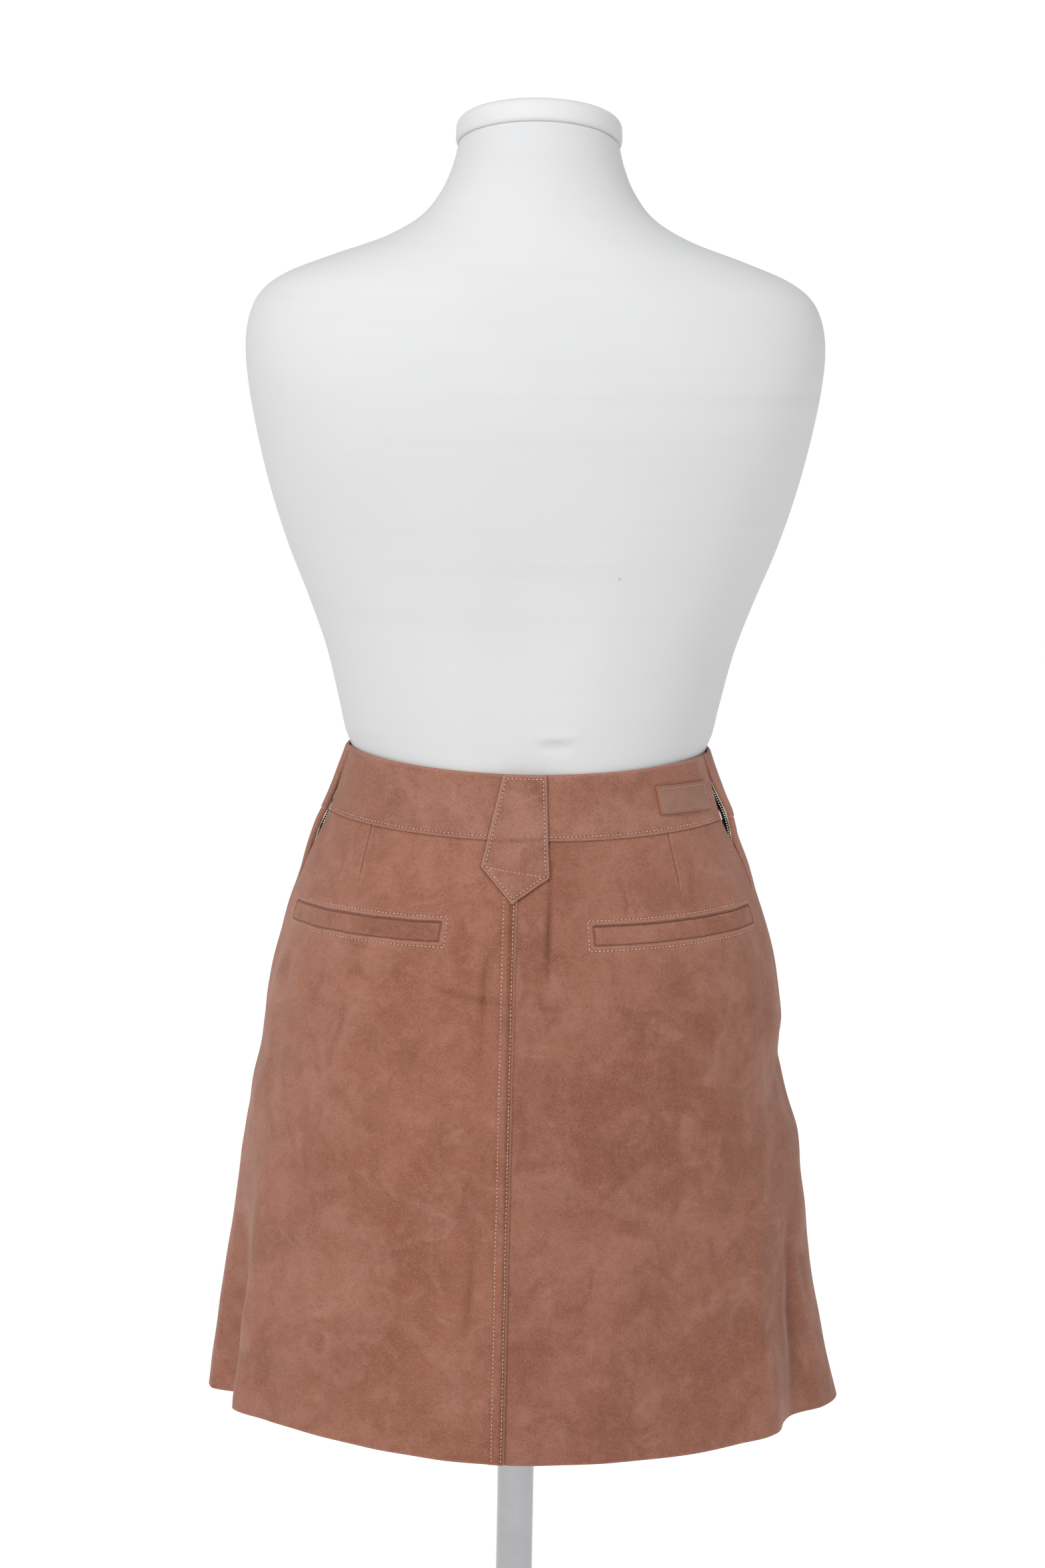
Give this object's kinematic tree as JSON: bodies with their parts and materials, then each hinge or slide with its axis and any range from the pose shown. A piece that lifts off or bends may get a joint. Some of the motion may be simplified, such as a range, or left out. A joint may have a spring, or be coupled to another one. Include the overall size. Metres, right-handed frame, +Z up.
{
  "type": "suede mini skirt on a limbless dress form with a pole stand",
  "caption": "Flared suede mini skirt with a fitted waistband, side zips, back welt pockets and a pointed centre-back tab, worn by a limbless dress form on a round-based stand.",
  "frame": {"origin": "centre of the base plate's underside, on the floor, in line with the pole", "axes": "+Z up; the back of the skirt faces -Y; +X is the wearer's right"},
  "size_m": [0.4299, 0.3, 1.1304],
  "materials": {
    "suede": "matte napped suede, uneven tan-pink",
    "patch_leather": "smooth worn leather",
    "zip_tape": "dark woven tape",
    "zip_metal": "worn pale metal",
    "form_cover": "smooth white matte cover",
    "cap_cover": "smooth white, slightly greyer than the torso",
    "pole_metal": "bright tube",
    "base_paint": "satin white paint"
  },
  "bodies": {
    "root": {"torso_form": "form_cover", "neck_cap": "cap_cover", "pole_socket": "base_paint", "pole": "pole_metal", "base_plate": "base_paint", "waistband_back": "suede", "waistband_front": "suede", "back_left": "suede", "back_right": "suede", "front": "suede", "centre_tab": "suede", "welt_left": "suede", "welt_right": "suede", "patch": "patch_leather", "zip_tape_left": "zip_tape", "zip_tape_right": "zip_tape", "zip_slider_left": "zip_metal", "zip_slider_right": "zip_metal"}
  },
  "joints": []
}
